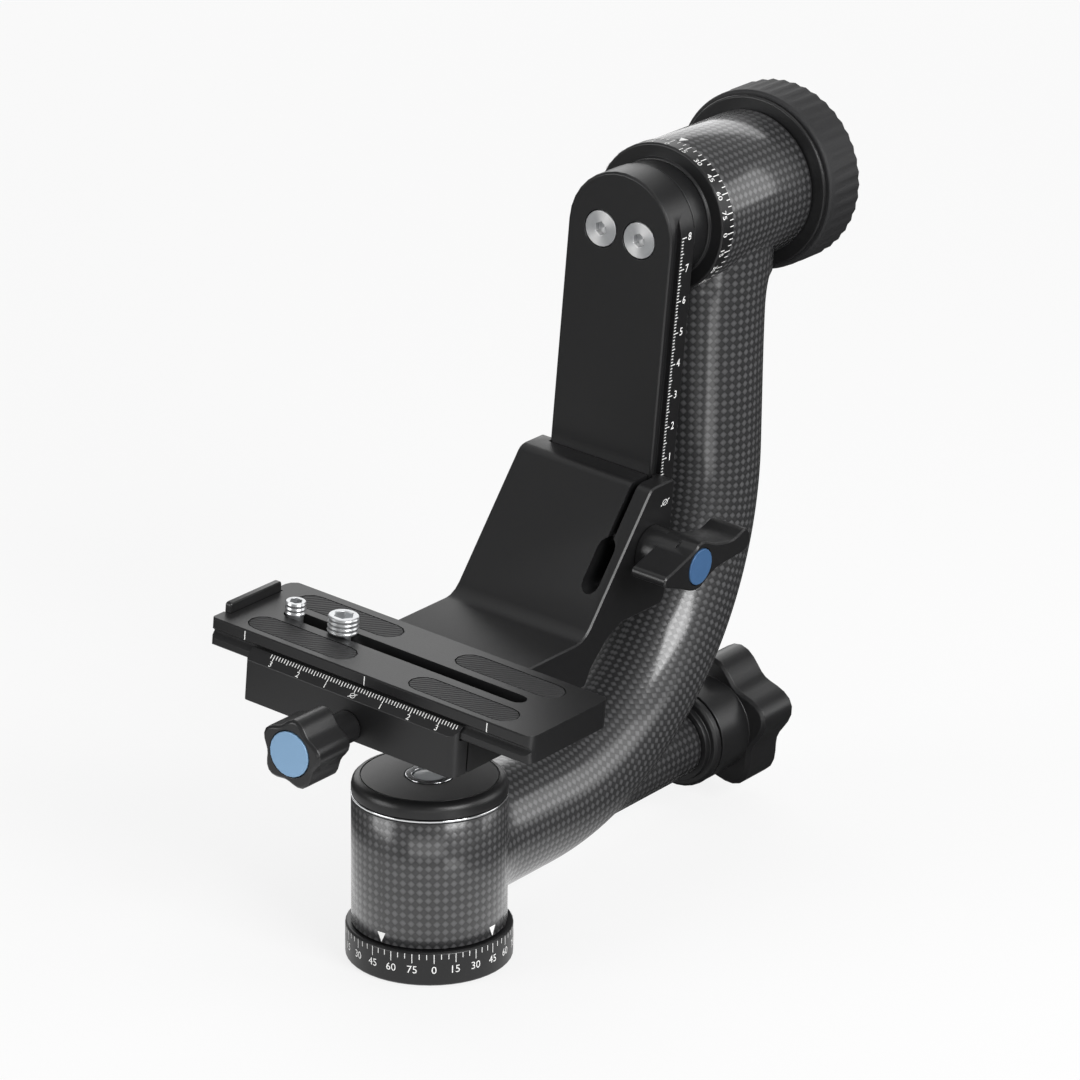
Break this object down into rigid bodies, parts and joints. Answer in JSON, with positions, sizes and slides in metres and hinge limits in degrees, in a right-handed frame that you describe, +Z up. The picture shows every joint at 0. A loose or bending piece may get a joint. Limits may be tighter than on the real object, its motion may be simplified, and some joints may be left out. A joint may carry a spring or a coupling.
{
  "type": "gimbal tripod head",
  "caption": "J-armed gimbal head that pans on a round tripod base and swings a long lens on a side cradle with a quick-release plate.",
  "frame": {"origin": "centre of the base's flat underside, on the pan axis, where the tripod's bolt enters", "axes": "+Z up along the pan axis, +X from the pan axis toward the arm's upright and along the tilt axis, +Y toward the plate end with the stop lip"},
  "size_m": [0.2374, 0.1154, 0.2264],
  "materials": {
    "carbon": "woven carbon under clear coat",
    "black_metal": "black anodised, satin",
    "black_plastic": "moulded black plastic, semi-matt",
    "rubber": "ribbed black rubber",
    "steel": "bright turned steel",
    "trim": "polished",
    "bronze": "plain bearing bronze",
    "dark_blue": "dark blue anodised cap",
    "pale_blue": "pale blue anodised cap",
    "vial": "clear pale dome"
  },
  "bodies": {
    "base": {"scale_ring": "black_metal", "base_hub": "black_metal", "pan_spindle": "steel", "spindle_nut": "steel"},
    "arm": {"carbon_arm": "carbon", "sleeve_liner": "black_metal", "pan_bearing_lower": "bronze", "pan_bearing_upper": "bronze", "cap_trim_ring": "trim", "base_cap": "black_metal", "level_bezel": "trim", "level_vial": "vial", "stub_collar": "black_metal", "pan_brake_shoe": "bronze", "housing_liner": "black_metal", "tilt_bearing_inner": "bronze", "tilt_bearing_outer": "bronze"},
    "pan_lock": {"pan_knob": "black_plastic", "pan_knob_cap": "dark_blue", "pan_lock_rod": "steel"},
    "tilt_lock": {"tilt_knob_core": "black_metal", "tilt_knob_grip": "rubber", "tilt_knob_cap": "black_metal", "tilt_lock_screw": "steel"},
    "hanger": {"tilt_flange": "black_metal", "neck_disc": "black_metal", "hanger_bracket": "black_metal", "bracket_screw_right": "steel", "bracket_screw_left": "steel"},
    "cradle_body": {"cradle": "black_metal", "clamp_body": "black_metal", "clamp_bolt_right": "steel", "clamp_bolt_left": "steel"},
    "wing": {"wing_knob": "black_plastic", "wing_knob_cap": "dark_blue", "wing_knob_screw": "steel"},
    "jaw": {"clamp_jaw": "black_metal", "jaw_pin_right": "steel", "jaw_pin_left": "steel"},
    "clamp_turn": {"clamp_knob": "black_plastic", "clamp_knob_cap": "pale_blue", "clamp_knob_screw": "steel"},
    "plate": {"camera_plate": "black_metal", "stop_lip": "black_metal", "stop_screw_1": "steel", "stop_screw_2": "steel", "safety_pin": "steel", "pad_front_left": "rubber", "pad_front_right": "rubber", "pad_rear_left": "rubber", "pad_rear_right": "rubber"},
    "small_screw": {"camera_screw_small": "steel"},
    "large_screw": {"camera_screw_large": "steel"}
  },
  "joints": [
    {"name": "pan", "type": "hinge", "parent": "base", "child": "arm", "pos_m": [0, 0, 0.03], "axis": [0, 0, 1], "continuous": true},
    {"name": "tilt", "type": "hinge", "parent": "arm", "child": "hanger", "pos_m": [0.11, 0, 0.1982], "axis": [1, 0, 0], "continuous": true},
    {"name": "pan_lock_turn", "type": "hinge", "parent": "arm", "child": "pan_lock", "pos_m": [0.15, 0, 0.0262], "axis": [1, 0, 0], "range_deg": [0, 360]},
    {"name": "tilt_lock_turn", "type": "hinge", "parent": "arm", "child": "tilt_lock", "pos_m": [0.169, 0, 0.1982], "axis": [1, 0, 0], "range_deg": [0, 360]},
    {"name": "cradle_slide", "type": "slide", "parent": "hanger", "child": "cradle_body", "axis": [0, -0.0819, 0.9966], "range_m": [0, 0.07]},
    {"name": "wing_turn", "type": "hinge", "parent": "cradle_body", "child": "wing", "pos_m": [0.0845, -0.02942, 0.10447], "axis": [0, -0.9966, -0.0819], "range_deg": [0, 360]},
    {"name": "jaw_slide", "type": "slide", "parent": "cradle_body", "child": "jaw", "axis": [-1, 0, 0], "range_m": [0, 0.0031]},
    {"name": "clamp_turn_joint", "type": "hinge", "parent": "jaw", "child": "clamp_turn", "pos_m": [-0.05, 0.00632, 0.07982], "axis": [-1, 0, 0], "range_deg": [0, 1080]},
    {"name": "plate_slide", "type": "slide", "parent": "cradle_body", "child": "plate", "axis": [0, 0.9966, 0.0819], "range_m": [-0.015, 0.014]},
    {"name": "small_screw_slide", "type": "slide", "parent": "plate", "child": "small_screw", "axis": [0, 0.9966, 0.0819], "range_m": [-0.0012, 0.0006]},
    {"name": "large_screw_slide", "type": "slide", "parent": "plate", "child": "large_screw", "axis": [0, 0.9966, 0.0819], "range_m": [-0.0625, 0.0012]}
  ],
  "couplings": [
    {"joint": "jaw_slide", "follows": "clamp_turn_joint", "m_per_rad": 0.00015915}
  ]
}
